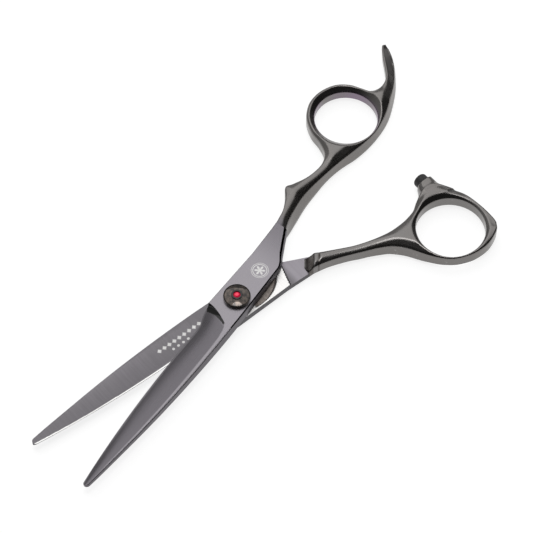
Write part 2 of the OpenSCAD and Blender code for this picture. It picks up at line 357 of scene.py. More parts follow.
def finger_handle():
    """Handle with knuckle spur, finger ring and finger rest."""
    near = [(-27, -1.5), (-31, -2.0), (-37, -3.0), (-43, -3.8), (-49, -3.9), (-55, -3.6), (-61, -2.6),
            (-67, -1.0), (-73, 0.0), (-79, 0.1), (-85, -0.8), (-91, -2.9), (-97, -5.8), (-103, -9.9),
            (-106.6, -13.2), (-108.7, -15.9)]
    crest = [(-27, -1.3), (-30, -2.4), (-34, -3.8), (-38, -4.8), (-43, -5.5), (-48, -5.3), (-54, -4.4),
             (-60, -3.5), (-66, -2.4), (-72, -1.1), (-78, -0.6), (-84, -1.6), (-89, -3.2), (-93, -5.0),
             (-97, -6.9), (-101, -9.5), (-105, -12.9), (-107.9, -16.4)]
    far = [(-27, -5.7), (-31, -6.3), (-35, -7.2), (-39, -9.2), (-42.6, -11.6), (-45, -10.4), (-49, -8.5),
           (-53, -7.5), (-57, -7.4), (-60.5, -9.0), (-63, -12.6), (-65, -17.2), (-68.5, -21.4),
           (-73, -23.8), (-77, -24.3), (-81, -23.5), (-85, -21.2), (-87.6, -17.5), (-88.6, -13.6),
           (-89.3, -10.8), (-91.3, -9.2), (-94, -8.8), (-97, -9.8), (-100, -12.2), (-103, -14.9),
           (-105.6, -16.9), (-107.7, -18.3), (-108.9, -17.7)]
    hole_r, lip = 10.1, 4.6
    field = Handle(
        near, crest, far, opening_centre("finger_hole", "upper_half"), hole_r, lip,
        shoulder=[(-109, 3.7, 0.55), (-99, 3.9, 0.68), (-90, 4.9, 0.6), (-46, 4.9, 0.6), (-34, 5.1, 0.6),
                  (-27, 5.5, 0.6)],
        beyond=[(-94, 5.7, 0.3), (-88, 5.4, 0.7), (-64, 5.4, 0.7), (-56, 5.5, 0.35), (-40, 5.6, 0.3),
                (-32, 6.4, 0.3)],
        drop=table((-110, 0.6), (-96, 0)), rise=table((-110, 1.1), (-88, 0)))
    return build_handle(
        "finger_handle", "front_handle", "upper_half", field,
        (-110.5, -26, -0.5), (-26.2, 1.6, 7), 0.25)


# Height of the lower handle's top near its root: shank, crease, lip, and the hollow down to the blade. They
# run slanted across the handle, so their x is less ROOT_SLANT times y, counted from the root's middle.
ROOT_MIDDLE = 3.2
ROOT_SLANT = 0.85
ROOT_TOP = table(
    (-36, 7.5), (-33, 6.9), (-31.2, 6.35), (-30.3, 5.9), (-29.95, 5.68), (-29.6, 5.86), (-28.9, 5.95),
    (-28.3, 5.85), (-27.8, 5.5), (-27.2, 4.85), (-26.5, 4.2), (-25.8, 3.65), (-25.1, 3.2), (-24.5, 2.95),
    (-24, 2.82), (-23.4, 2.7))


def thumb_handle():
    """Handle with thumb ring and the boss of the rubber stop."""
    near = [(-24, 5.9), (-28, 6.6), (-31, 7.3), (-34, 8.4), (-37, 9.6), (-40, 11.0), (-43, 12.3),
            (-46, 13.8), (-49, 15.7), (-52, 19.1), (-55, 24.2), (-58, 28.4), (-61, 31.2), (-64, 32.8),
            (-67, 33.8), (-70, 34.1), (-73, 33.9), (-76, 32.9), (-78.6, 31.4), (-80.3, 29.4)]
    crest = [(-24, 5.85), (-28, 6.5), (-31, 7.3), (-34, 8.3), (-38, 9.9), (-42, 11.6), (-46, 13.3),
             (-50, 15.7), (-53, 19.4), (-56, 25.0), (-58.6, 28.7), (-61, 31.0), (-64, 32.6), (-67, 33.6),
             (-70, 33.95), (-73, 33.75), (-76, 32.8), (-78.6, 31.4), (-80.2, 29.4)]
    far = [(-24, -0.8), (-25.4, 0.0), (-26.8, 0.8), (-28.2, 1.7), (-29.6, 2.5), (-31, 3.3), (-34, 4.8),
           (-37, 6.3), (-40, 7.7), (-43, 8.8), (-46, 9.7), (-49, 10.4), (-52, 10.9), (-55, 11.0),
           (-59, 10.7), (-63, 9.6), (-66, 8.0), (-70, 7.2), (-74, 7.6), (-76.6, 9.6), (-78.4, 12.2),
           (-79.8, 15.6), (-80.5, 20), (-80.7, 24), (-80.6, 27.5), (-80.3, 29.2)]
    hole_r, lip = 10.9, 5.3
    stop = closed(((low("bumper") + high("bumper")) / 2)[:2], "lower_half")
    boss_r, boss_length, roundness = 2.95, 7, 2.7
    stretch, lean, widening = 3.7, 1.1, 0.42  # for each stretch of its length the boss leans and widens
    fillet, edge, root_edge, root_scale = 2.6, 0.2, 0.25, 0.7
    top = high("rear_handle").z

    def with_boss(body, xy, z):
        """Adds the boss that holds the stop, and cuts the top down near the handle's root."""
        along = xy[:, 1] - BOSS_END
        t = np.clip(along / stretch, 0, 2)
        across = abs(xy[:, 0] - stop[0] - lean * t) / (1 + widening * t)
        side = (across**roundness + abs(z - RING_MID)**roundness)**(1 / roundness) - boss_r
        boss = smooth_max(np.maximum(side, along - boss_length), -along, edge)
        joined = smooth_min(body, boss, fillet)
        joined = smooth_max(joined, z - top, EDGE_BLEND)
        joined = smooth_max(joined, GROUND - z, EDGE_BLEND)
        root = ROOT_TOP(xy[:, 0] - ROOT_SLANT * (xy[:, 1] - ROOT_MIDDLE))
        return smooth_max(joined, (z - root) * root_scale, root_edge)

    field = Handle(
        near, crest, far, opening_centre("thumb_hole", "lower_half"), hole_r, lip,
        shoulder=[(-78, 6.0, 0.12), (-72, 5.5, 0.42), (-60, 5.0, 0.6), (-50, 5.0, 0.62), (-30, 5.1, 0.62)],
        beyond=[(-80, 5.7, 0.25), (-77, 5.0, 0.6), (-70, 4.6, 0.75), (-60, 5.5, 0.4), (-40, 5.6, 0.3),
                (-30, 5.8, 0.3)],
        extra=with_boss)
    return build_handle(
        "thumb_handle", "rear_handle", "lower_half", field,
        (-82, -2.5, -0.5), (-24.1, 35.5, 7), 0.22)


# ---------------------------------------------------------------- blades

REACH = 77.5  # x of the tips
TIP_R = 1.0  # length over which a tip rounds off
TAPER = 1.4  # how much thinner the blank is at the tip than at the hub
EDGE_T = 0.3  # thickness at the cutting edge
EDGE_RIM, BEVEL_SLOPE = 0.12, 0.95  # narrow face over the edge, and the steepness of the spine's bevel
EDGE_FROM, SPINE_FROM = 16, 12  # x where the blade's own curves take over from the hub's sides
SHOULDER_MID = 8  # middle x of the hub's shoulder
# Distance of the spine's top from its foot, and width of the flat band along the back.
LEAN = table((-30, 0.4), (-20, 0.4), (-17.5, 0.25), (-16, 0.2), (0, 0.4), (12, 0.55), (20, 0.5),
             (30, 0.38), (45, 0.25), (77, 0.2))
BAND = table((6, 3.4), (9, 2.9), (10.5, 2.2), (12, 1.7), (15, 1.25), (20, 1.1), (30, 1.0), (50, 0.7),
             (70, 0.4), (78, 0.2))
HUB_EDGE = table((-34, -6.25), (-27, -5.75), (-16, -5.4), (0, -5.8), (6.5, -5.95), (8, -5.9), (9.5, -5.6),
                 (11, -5.1), (13, -4.3), (16, -3.95))
HUB_SPINE = table((-34, -4.2), (-30, -2.0), (-27, -0.45), (-25, 0.5), (-23, 1.5), (-21, 2.5), (-19.6, 3.25),
                  (-18.6, 3.75), (-17.8, 4.08), (-17, 4.3), (-16, 4.5), (-8, 4.85), (0, 5.2), (6, 5.42),
                  (12, 5.5))


def edge_line(x):
    """Cutting edge, and the hub's side behind it."""
    return np.where(x < EDGE_FROM, HUB_EDGE(x), -4.05 + (x - 25)**2 / 780)


def spine_line(x):
    """Back of the blade and of the hub at the ride face, and the slanted end of the hub."""
    return np.where(x < SPINE_FROM, HUB_SPINE(x), 5.5 - (x - SPINE_FROM)**2 / 1034)


def band_line(x):
    """Lower side of the flat band along the back."""
    return spine_line(x) - LEAN(x) - BAND(x)


def thickness(x):
    """Height of the outer flat over the ride face."""
    return HUB_T - TAPER * np.clip((x - 10) / (REACH - 10), 0, 1)


def shoulder(y):
    """Where the hub's flat ends over the blade."""
    return 6.5 + 3.0 * (np.clip(y + 5.2, 0, 7.4) / 7.4)**1.5


def cove_width(y):
    """Width of the cove that runs from the hub's flat down to the blade."""
    return 0.7 + 1.3 * np.clip((2.6 - y) / 7.8, 0, 1)


def outer_face(x, y):
    """Height of the outer face: hub flat, cove, flat band, and the convex face down to the edge."""
    t = thickness(x)
    band = band_line(x)
    share = np.clip((band - y) / (band - edge_line(x)), 0, 1)
    convex = t - (t - EDGE_T) * share**2
    u = np.clip((x - shoulder(y)) / cove_width(y), 0, 1)
    cove = 1 - np.sqrt(1 - (1 - u)**2)
    return convex + (t - convex) * cove


def ride_face(x, y):
    """Depth of the inner face: hollow along the blade, pocket beside the half-moon ride, relief behind."""
    hollow_depth, pocket_depth, relief_depth = 0.32, 0.4, 0.65
    moon_r, pad_r, side = 12.3, 5.3, 0.4
    hollow = hollow_depth * np.clip(1 - ((y - 0.7) / 3.7)**2, 0, 1)
    hollow = hollow * step_up(x, 12, 22) * (1 - step_up(x, 60, 74))
    inside_arc = step_up(moon_r - np.hypot(x + 5.5, y - 7), 0, side)
    off_pivot = step_up(np.hypot(x, y) - pad_r, 0, side)
    pocket = pocket_depth * inside_arc * off_pivot * (1 - step_up(x, -4.5, -3))
    relief = relief_depth * step_up(-16.5 - 0.33 * (y + 5.5) - x, 0, 0.5)
    return np.maximum(np.maximum(hollow, pocket), relief)


def blade_sections(start):
    """Closed sections of one blade blank, from the hub's end to the tip, with the ride face at height 0.
    They lie closest over the cove and bend along it there."""
    points_across, short_of_tip, least_step, lift = 47, 0.015, 0.01, 0.03
    tip_start = REACH - TIP_R
    u = np.concatenate([
        np.arange(start, 4.5, 0.3), np.arange(4.5, 13, 0.14), np.arange(13, 74, 0.6),
        np.arange(74, 76.5, 0.3), tip_start + 0.985 * np.sin(np.linspace(0, 1, 9) * math.pi / 2)])
    across = (1 - np.cos(np.linspace(0, 1, points_across) * math.pi)) / 2
    follow = step_up(u, 1.5, 5.5) * (1 - step_up(u, 11, 17))
    x = np.repeat(u[:, None], len(across), 1)
    for _ in range(4):
        tip = np.sqrt(np.clip(1 - (np.clip(x - tip_start, 0, TIP_R) / TIP_R)**2, 0, 1))
        lo, hi = edge_line(x), spine_line(x) - LEAN(x)
        mid = (lo + hi) / 2
        y = mid + (lo + (hi - lo) * across - mid) * tip
        x = u[:, None] + (shoulder(y) - SHOULDER_MID) * follow[:, None]
    x = np.minimum(x, REACH - short_of_tip)
    foot = y + LEAN(x) * tip * across
    top = outer_face(x, y)
    rim = np.minimum(EDGE_RIM, 0.35 * top)
    bevel = np.interp(x[:, -1:], (-21, -16.5), (0.85, 0.32))
    inner, least = y.copy(), least_step * tip[:, 0]
    inner[:, 0] += EDGE_RIM * tip[:, 0] * 0.99
    inner[:, -1] -= (bevel * tip[:, -1:])[:, 0]
    inner[:, 1] = np.maximum(inner[:, 1], inner[:, 0] + least)
    inner[:, -2] = np.minimum(inner[:, -2], inner[:, -1] - least)
    return np.concatenate([
        np.stack([x, foot, ride_face(x, foot)], 2)[:, ::-1],
        np.stack([x[:, :1], y[:, :1], top[:, :1] - rim[:, :1]], 2),
        np.stack([x, inner, top], 2),
        np.stack([x[:, -1:], y[:, -1:] + lift, top[:, -1:] - BEVEL_SLOPE * bevel], 2)], 1)


def revolve(profile, count):
    """Verts and faces of a profile of (radius, height) turned about Z."""
    profile = np.array(profile, float)
    a = np.linspace(0, 2 * math.pi, count, endpoint=False)
    verts = np.stack([
        np.outer(np.cos(a), profile[:, 0]), np.outer(np.sin(a), profile[:, 0]),
        np.repeat(profile[None, :, 1], count, 0)], 2).reshape(-1, 3)
    n = len(profile)
    faces = [
        (i * n + j, (i + 1) % count * n + j, (i + 1) % count * n + j + 1, i * n + j + 1)
        for i in range(count) for j in range(n - 1)]
    return verts, faces


def cut_bore(obj, start, lower_r, step_z, upper_r, end):
    """Cuts a hole about the pivot axis: radius lower_r up to step_z and upper_r above it. It is cut at a
    thousand times the size, because the cut loses precision on small pieces."""
    sides, merge = 96, 1e-4
    profile = [(0, start), (lower_r, start), (lower_r, step_z), (upper_r, step_z), (upper_r, end), (0, end)]
    verts, faces = revolve(profile, sides)
    mesh = bpy.data.meshes.new("cutter")
    mesh.from_pydata(verts.tolist(), [], faces)
    clean(mesh, merge)
    cutter = bpy.data.objects.new("cutter", mesh)
    bpy.context.scene.collection.objects.link(cutter)
    obj.data.transform(Matrix.Scale(1 / MM, 4))
    mod = obj.modifiers.new("bore", "BOOLEAN")
    mod.operation, mod.solver, mod.object = "DIFFERENCE", "MANIFOLD", cutter
    bpy.context.view_layer.update()
    done = bpy.data.meshes.new_from_object(obj.evaluated_get(bpy.context.evaluated_depsgraph_get()))
    obj.modifiers.clear()
    done.transform(Matrix.Scale(MM, 4))
    obj.data = done
    bpy.data.objects.remove(cutter)


def mark(obj, name, values):
    """Stores a value on each vertex for the materials to read."""
    data = obj.data.attributes.new(name, "FLOAT", "POINT").data
    data.foreach_set("value", np.asarray(values, np.float32))


def points_of(obj):
    """Vertices of a piece, in millimetres in the closed frame of its half."""
    co = np.empty(len(obj.data.vertices) * 3)
    obj.data.vertices.foreach_get("co", co)
    return co.reshape(-1, 3) / MM


def build_blade(name, node, body, start, upper):
    """One blade with its hub; the lower one is the same blank turned over."""
    sections = blade_sections(start)
    rows, n = sections.shape[:2]
    verts = sections.reshape(-1, 3).copy()
    if upper:
        verts[:, 2] += RIDE_HIGH
    else:
        verts[:, 1:] *= -1
        verts[:, 2] += RIDE_LOW
    faces = [(i * n + j, (i + 1) * n + j, (i + 1) * n + (j + 1) % n, i * n + (j + 1) % n)
             for i in range(rows - 1) for j in range(n)]
    # Each end is closed by a strip between the ride face's points and the outer face's.
    half = n // 2 - 2
    for first in (0, (rows - 1) * n):
        cap = [(half - k, half - k - 1, half + 3 + k, half + 2 + k) for k in range(half)]
        cap += [(half, half + 1, half + 2), (0, n - 2, n - 1)]
        faces += [tuple(first + j for j in f) for f in cap]
    obj = new_object(name, verts, faces, body)
    clean(obj.data)
    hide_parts(node)
    return obj


def blades():
    """Both blades, bored for the pivot and marked for their materials."""
    bush_r, flange_r, flange_t, head_r, head_top, shank_r = 2.8, 3.7, 1, 4.5, 1.2, 2.5
    past = 1  # how far the cutters run past the blades
    upper_start, lower_start = -29.4, -28.4  # x of the hubs' ends, inside the handles
    upper = build_blade("upper_blade", "front_blade", "upper_half", upper_start, True)
    cut_bore(upper, RIDE_HIGH - past, bush_r, HUB_TOP - flange_t, flange_r, HUB_TOP + past)
    lower = build_blade("lower_blade", "rear_blade", "lower_half", lower_start, False)
    cut_bore(lower, -past, head_r, head_top, shank_r, RIDE_LOW + past)
    for obj in (upper, lower):
        shade_smooth(obj.data)
        obj.data.set_sharp_from_angle(angle=math.radians(32))

    x, y, z = points_of(upper).T
    beyond = x - shoulder(y)
    on_top = z > RIDE_HIGH + 0.6
    # The cove mark is where the upper blade's material paints near-black shade.
    mark(upper, "cove", on_top & (beyond > 0.02) & (beyond < cove_width(y) + 0.02) & (y < 2.4))
    mark(upper, "face", step_up(beyond, 0, 1.5) * on_top * (1 - step_up(y - band_line(x), -0.15, 0.1)))
    mark(upper, "root", on_top * step_up(-x, 12, 29))

    x, y, z = points_of(lower).T
    depth = RIDE_LOW - z
    moon = (depth < 0.06) & (z > RIDE_LOW - 1) & (x < 6)
    honed = (-y < edge_line(x) + 0.42) & (x > 9) & (depth < 0.25)
    mark(lower, "bare", moon | honed)
    mark(lower, "root", (depth < 1) * step_up(-x, 17.5, 20.5))
    mark(lower, "cove", (depth > 0.2) & (depth < 0.5) & (x < 6) & (x > -15))
    return upper, lower


# ---------------------------------------------------------------- small parts

WELD = 1e-6  # vertices of a small piece closer than this are one, in metres


def lathe(name, node, body, profile, count):
    """A turned piece about the pivot axis that stands for its CAD node."""
    verts, faces = revolve(profile, count)
    obj = new_object(name, verts, faces, body)
    clean(obj.data, WELD)
    obj.data.set_sharp_from_angle(angle=math.radians(30))
    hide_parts(node)
    return obj


def arc(cx, cz, r, start, end, count):
    """Points of an arc in a (radius, height) profile."""
    return [(cx + r * math.cos(math.radians(a)), cz + r * math.sin(math.radians(a)))
            for a in np.linspace(start, end, count)]


def tension_dial():
    """Domed, hollow tension dial with a rounded rim and a fine groove inside it."""
    foot, top = low("tension_dial").z, high("tension_dial").z
    bore, cavity_r, cavity = 1.55, 3.2, 0.45
    dome_r = 12.5
    foot_round, rim_round, groove = 0.12, 0.2, 0.06
    crown = top - dome_r
    shoulder_r = DIAL_R - 0.45
    shoulder_z = crown + math.sqrt(dome_r**2 - shoulder_r**2)
    profile = [(bore, foot + cavity), (cavity_r, foot + cavity), (cavity_r, foot)]
    profile += arc(DIAL_R - foot_round, foot + foot_round, foot_round, -90, 0, 5)
    profile += arc(DIAL_R - rim_round, shoulder_z - 2 * groove, rim_round, 0, 75, 7)
    profile += [(shoulder_r + 0.08, shoulder_z - groove), (shoulder_r + 0.04, shoulder_z - groove)]
    profile += [(r, crown + math.sqrt(dome_r**2 - r**2)) for r in np.linspace(shoulder_r, bore + 0.35, 18)]
    profile += [(bore + 0.1, top - 0.1), (bore, top - 0.2), (bore, foot + cavity)]
    return lathe("dial", "tension_dial", "dial", profile, 128)


def stone_cup(seat, stone_r):
    """Cup with a rolled lip round the stone."""
    foot, top = low("gem_bezel").z, high("gem_bezel").z
    stem, lip = 1.5, 1.75
    under_round, over_round = 0.08, 0.12
    profile = [(0, foot), (stem, foot), (stem, top - 0.12)]
    profile += arc(lip - under_round, top - 0.05, under_round, -90, 0, 4)
    profile += arc(lip - over_round, top - 0.03, over_round, 0, 90, 5)
    well = stone_r + 0.01
    profile += [(stone_r + 0.08, top + 0.06), (well, top - 0.06), (well, seat), (0, seat)]
    return lathe("stone_cup", "gem_bezel", "dial", profile, 64)


def cut_stone(seat, stone_r):
    """Faceted stone: twelve sides, a crown of facets set between them and a flat table."""
    sides = 12
    girdle = stone_r - 0.01
    rings = [(girdle, seat, 0.0), (girdle, seat + 0.1, 0.0), (stone_r * 0.8, seat + 0.27, 0.5),
             (stone_r * 0.52, high("gem").z, 0.0)]
    bm = bmesh.new()
    for r, z, turn in rings:
        for i in range(sides):
            a = 2 * math.pi * (i + turn) / sides
            bm.verts.new(Vector((r * math.cos(a), r * math.sin(a), z)) * MM)
    bmesh.ops.convex_hull(bm, input=bm.verts)
    bmesh.ops.recalc_face_normals(bm, faces=bm.faces)
    mesh = bpy.data.meshes.new("stone")
    bm.to_mesh(mesh)
    bm.free()
    stone = bpy.data.objects.new("stone", mesh)
    bpy.context.scene.collection.objects.link(stone)
    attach(stone, "dial")
    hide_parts("gem")
    return stone


def rubber_stop():
    """Soft stop with a rounded end, pressed into the boss."""
    lo, hi = low("bumper"), high("bumper")
    stop = closed(((lo + hi) / 2)[:2], "lower_half")
    r = (hi.z - lo.z) / 2
    stand, stem_r, stem_length, end_round, flat_r = 2.85, 1.45, 3.8, 1.0, 0.7
    profile = [(0, -stem_length), (stem_r, -stem_length), (stem_r, 0.0), (r - 0.15, 0.0), (r, 0.15)]
    profile += [(r, 0.5), (r - 0.03, 0.8)]
    profile += arc(r - 0.05 - end_round, stand - end_round, end_round, 0, 90, 10)
    profile += [(flat_r, stand), (0, stand)]
    verts, faces = revolve(profile, 64)
    turned = np.stack([verts[:, 0] + stop[0], BOSS_END - verts[:, 2], verts[:, 1] + RING_MID], 1)
    obj = new_object("stop_rubber", turned, faces, "lower_half")
    clean(obj.data, WELD)
    obj.data.set_sharp_from_angle(angle=math.radians(35))
    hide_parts("bumper")
    return obj


# ---------------------------------------------------------------- materials

class Nodes:
    """Short calls for building one material's node tree."""

    def __init__(self, name):
        self.material = bpy.data.materials.new(name)
        self.material.use_nodes = True
        self.tree = self.material.node_tree
        self.shader = self.tree.nodes["Principled BSDF"]

    def add(self, kind, inputs=(), **settings):
        node = self.tree.nodes.new(kind)
        for key, value in settings.items():
            setattr(node, key, value)
        for key, value in dict(inputs).items():
            self.put(node.inputs[key], value)
        return node

    def put(self, socket, value):
        if isinstance(value, bpy.types.NodeSocket):
            self.tree.links.new(value, socket)
        else:
            socket.default_value = value

    def math(self, operation, a, b=0.0):
        return self.add("ShaderNodeMath", {0: a, 1: b}, operation=operation).outputs[0]

    def times(self, a, b):
        return self.math("MULTIPLY", a, b)

    def less(self, a, b):
        return self.math("SUBTRACT", a, b)

    def noise(self, scale, stretch=(1, 1, 1), detail=4, roughness=0.55):
        """Noise over the piece's own coordinates; scale is in features per metre, stretch per axis."""
        coords = self.add("ShaderNodeTexCoord").outputs["Object"]
        mapped = self.add("ShaderNodeMapping", {"Vector": coords, "Scale": stretch}).outputs[0]
        return self.add("ShaderNodeTexNoise", {
            "Vector": mapped, "Scale": scale, "Detail": detail, "Roughness": roughness}).outputs["Fac"]

    def spread(self, value, low_out, high_out, low_in=0.0, high_in=1.0):
        """The value carried from one range to another, and held at its ends."""
        return self.add("ShaderNodeMapRange", {
            "Value": value, "From Min": low_in, "From Max": high_in, "To Min": low_out,
            "To Max": high_out}).outputs[0]

    def above(self, value, start, end):
        """Share that rises from 0 to 1 between start and end."""
        return self.spread(value, 0.0, 1.0, start, end)

    def under(self, value, start, end):
        """Share that falls from 1 to 0 between start and end."""
        return self.spread(value, 1.0, 0.0, start, end)

    def blend(self, share, a, b):
        """Colour a where share is 0 and colour b where it is 1."""
        node = self.add("ShaderNodeMix", {0: share}, data_type="RGBA")
        self.put(node.inputs[6], a)
        self.put(node.inputs[7], b)
        return node.outputs[2]

    def position(self):
        """x, y and z on the piece, in millimetres of its own frame."""
        coords = self.add("ShaderNodeTexCoord").outputs["Object"]
        return [self.times(part, 1 / MM) for part in self.add("ShaderNodeSeparateXYZ", {0: coords}).outputs]

    def around(self, centre):
        """Offsets and distance from a point in plan."""
        x, y, _ = self.position()
        dx, dy = self.less(x, centre[0]), self.less(y, centre[1])
        return dx, dy, self.math("SQRT", self.math("ADD", self.times(dx, dx), self.times(dy, dy)))

    def marked(self, name):
        """A value that the piece's vertices carry."""
        return self.add("ShaderNodeAttribute", attribute_name=name).outputs["Fac"]

    def edges(self, start=0.52, end=0.62):
        """Share of wear: 1 on convex edges."""
        return self.above(self.add("ShaderNodeNewGeometry").outputs["Pointiness"], start, end)

    def level(self):
        """Share of flat upward or downward facing surface."""
        normal = self.add("ShaderNodeNewGeometry").outputs["True Normal"]
        height = self.add("ShaderNodeSeparateXYZ", {0: normal}).outputs[2]
        return self.above(self.math("ABSOLUTE", height), 0.8, 0.9)

    def bump(self, height, depth, strength):
        """Normals for a height; depth is in millimetres."""
        return self.add("ShaderNodeBump", {
            "Height": height, "Distance": depth * MM, "Strength": strength}).outputs[0]

    def finish(self, **inputs):
        """Sets the shader's sockets and gives the material."""
        for key, value in inputs.items():
            self.put(self.shader.inputs[key.replace("_", " ")], value)
        return self.material


def grey(v, warm=0.0):
    """A grey, a little warm or cool."""
    return (v * (1 + warm), v, v * (1 - warm), 1)


def smoke(v, warm):
    """A grey with a share of brown in it."""
    return (v * (1 + 1.6 * warm), v, v * (1 - warm), 1)


def violet(v):
    """A grey that leans to violet."""
    return (v, v * 0.94, v * 1.03, 1)


def satin_steel(name, tone, grain, roughness, etched=None, blade=False, bare=False, low_tone=0.83, root=1.0):
    """Dark coated steel with a fine ground grain. grain is the noise stretch per axis, low_tone the share
    of the tone in the grain's darkest lines, and etched gives the share of an etched ornament. A blade reads
    the values marked on it: root there is the share of the tone at the handle's end, and bare shows bright
    steel on the ride and along the honed edge."""
    n = Nodes(name)
    lines = n.noise(1.0, grain, 5, 0.6)
    cloud = n.noise(60, detail=3)
    wear = n.times(n.edges(), n.spread(n.noise(900), 0.2, 1, 0.4, 0.6))
    colour = n.blend(lines, violet(tone * low_tone), violet(tone * (2 - low_tone)))
    colour = n.blend(n.spread(cloud, 0, 0.35), colour, grey(tone * 0.85, 0.02))
    colour = n.blend(n.times(wear, 0.5), colour, grey(tone * 2.2))
    rough = n.spread(lines, roughness - 0.08, roughness + 0.08, 0.3, 0.7)
    if blade:
        colour = n.blend(n.marked("root"), colour, violet(tone * root))
        ground = n.blend(lines, violet(tone * 0.42), violet(tone * 0.56))
        colour = n.blend(n.marked("face"), colour, ground)
        # Painted shade: every face that is not flat, such as the spine wall, takes a darker colour than the flats.
        colour = n.blend(n.level(), violet(tone * 0.45), colour)
        cove = n.marked("cove")
        # Painted shade: on the upper blade the cove is painted near-black in place of the dark it reflects. On the
        # lower blade the pocket takes a lighter brown-grey.
        colour = n.blend(cove, colour, smoke(0.3, 0.08) if bare else grey(0.035))
        rough = n.times(rough, n.spread(cove, 1.0, 1.5 if bare else 0.45))
    if bare:
        colour = n.blend(n.times(n.marked("bare"), n.level()), colour, grey(0.8, 0.012))
    if etched is not None:
        mask = etched(n)
        colour = n.blend(mask, colour, grey(0.62, 0.01))
        rough = n.math("ADD", rough, n.times(mask, 0.15))
    return n.finish(Base_Color=colour, Metallic=1.0, Roughness=rough, Normal=n.bump(lines, 0.004, 0.35))


def polished_steel(
        name, tone, warm=0.0, roughness=0.26, tint=None, satin=None, painted_shade=None, coat=0.0, reflection_mottle=0.0):
    """Mirror-polished coated steel with smudges, faint unevenness and worn edges. tint, satin and the shade
    argument give the shares of violet heat tint, of the hub's satin finish and of painted shade, a darker colour
    put where shade falls. The last argument is the number of cloudy patches per metre, a painted reflection."""
    n = Nodes(name)
    smudge = n.noise(90, detail=5)
    wear = n.times(n.edges(0.54, 0.66), n.spread(n.noise(1500, detail=3), 0.2, 1, 0.45, 0.6))
    colour = n.blend(smudge, smoke(tone * 0.88, warm), smoke(tone * 1.1, warm * 0.3))
    # Painted reflection: cloudy patches of darker and lighter colour.
    if reflection_mottle:
        reflection_patches = n.above(n.noise(reflection_mottle, detail=3), 0.4, 0.6)
        colour = n.blend(reflection_patches, smoke(tone * 0.3, warm), smoke(tone * 2, warm))
    if tint is not None:
        colour = n.blend(tint(n), colour, (tone * 1.25, tone * 0.95, tone * 1.3, 1))
    # Painted shade: a darker smoke grey laid where the shade share is high.
    if painted_shade is not None:
        colour = n.blend(painted_shade(n), colour, smoke(tone * 0.3, 0.12))
    colour = n.blend(n.times(wear, 0.35), colour, grey(tone * 2.5))
    rough = n.spread(smudge, roughness * 0.85, roughness * 1.25, 0.35, 0.7)
    if satin is not None:
        mask = satin(n)
        colour = n.blend(mask, colour, violet(0.19))
        rough = n.math("ADD", rough, n.times(mask, 0.2))
    normal = n.bump(n.noise(400, detail=2), 0.003, 0.25)
    return n.finish(Base_Color=colour, Metallic=1.0, Roughness=rough, Normal=normal, Coat_Weight=coat)


def rubber(name):
    """Matt black moulded rubber."""
    n = Nodes(name)
    grain = n.noise(2600, detail=4)
    colour = n.blend(n.noise(500), (0.018, 0.018, 0.019, 1), (0.04, 0.039, 0.038, 1))
    return n.finish(Base_Color=colour, Roughness=n.spread(grain, 0.5, 0.75), Normal=n.bump(grain, 0.02, 0.6))


def glass(name):
    """Cut red glass with a painted glow: it emits a little of its own colour in place of the light its foil back
    throws back.
    """
    n = Nodes(name)
    colour = n.blend(n.noise(1400), (0.75, 0.005, 0.04, 1), (0.95, 0.02, 0.1, 1))
    return n.finish(
        Base_Color=colour, Roughness=n.spread(n.noise(3000), 0.02, 0.06), Metallic=0.35,
        Coat_Weight=1.0, Coat_Roughness=0.02, Emission_Color=colour, Emission_Strength=0.25)


def nylon(name, tone):
    """Pale moulded nylon with faint mottling."""
    n = Nodes(name)
    fresh, aged = (tone, tone * 0.97, tone * 0.88, 1), (tone * 0.9, tone * 0.86, tone * 0.75, 1)
    return n.finish(
        Base_Color=n.blend(n.noise(700), fresh, aged), Roughness=n.spread(n.noise(1800), 0.4, 0.6),
        Normal=n.bump(n.noise(2200), 0.01, 0.4))


def rosette(n):
    """Etched ornament on the hub: a six-petal flower inside two rings."""
    dx, dy, r = n.around((-12.0, 0.1))
    heart, petal, soft = 0.25, 1.45, 0.05
    petals = n.math("ABSOLUTE", n.math("COSINE", n.times(n.math("ARCTAN2", dy, dx), 3)))
    reach = n.math("ADD", n.times(petals, petal), heart)
    total = n.under(n.less(r, reach), -0.06, 0.06)
    for radius, half in ((2.15, 0.12), (2.65, 0.07)):
        ring = n.under(n.math("ABSOLUTE", n.less(r, radius)), half - soft, half + soft)
        total = n.math("MAXIMUM", total, ring)
    height = n.position()[2]
    return n.times(total, n.above(height, HUB_TOP - 0.1, HUB_TOP - 0.05))


def lozenges(n):
    """Etched ornament on the lower blade: a row of small lozenges over a short row of dots."""
    x, y, z = n.position()

    def row(x0, x1, y0, half, power):
        """Marks one pitch apart from x0 to x1; power is 1 for a lozenge and 2 for a dot."""
        pitch = 1.9
        inside_row = n.times(n.above(x, x0 - 0.01, x0), n.under(x, x1, x1 + 0.01))
        cell = n.less(n.math("FRACT", n.math("DIVIDE", n.less(x, x0), pitch)), 0.5)
        dx, dy = n.math("ABSOLUTE", n.times(cell, pitch)), n.math("ABSOLUTE", n.less(y, y0))
        size = n.math("ADD", n.math("POWER", dx, power), n.math("POWER", dy, power))
        edge = half**power
        return n.times(inside_row, n.under(size, edge * 0.75, edge * 1.25))

    marks = n.math("MAXIMUM", row(12.8, 29.9, -1.5, 0.74, 1.0), row(18.5, 26.1, 0.55, 0.44, 2.0))
    return n.times(marks, n.above(z, RIDE_LOW - 0.5, RIDE_LOW - 0.4))


def inner_tint(n):
    """Share of violet heat tint, strongest inside the finger ring."""
    _, _, r = n.around(opening_centre("finger_hole", "upper_half"))
    return n.times(n.under(r, 10.3, 10.9), n.spread(n.noise(110, detail=2), 0.0, 0.8, 0.35, 0.65))


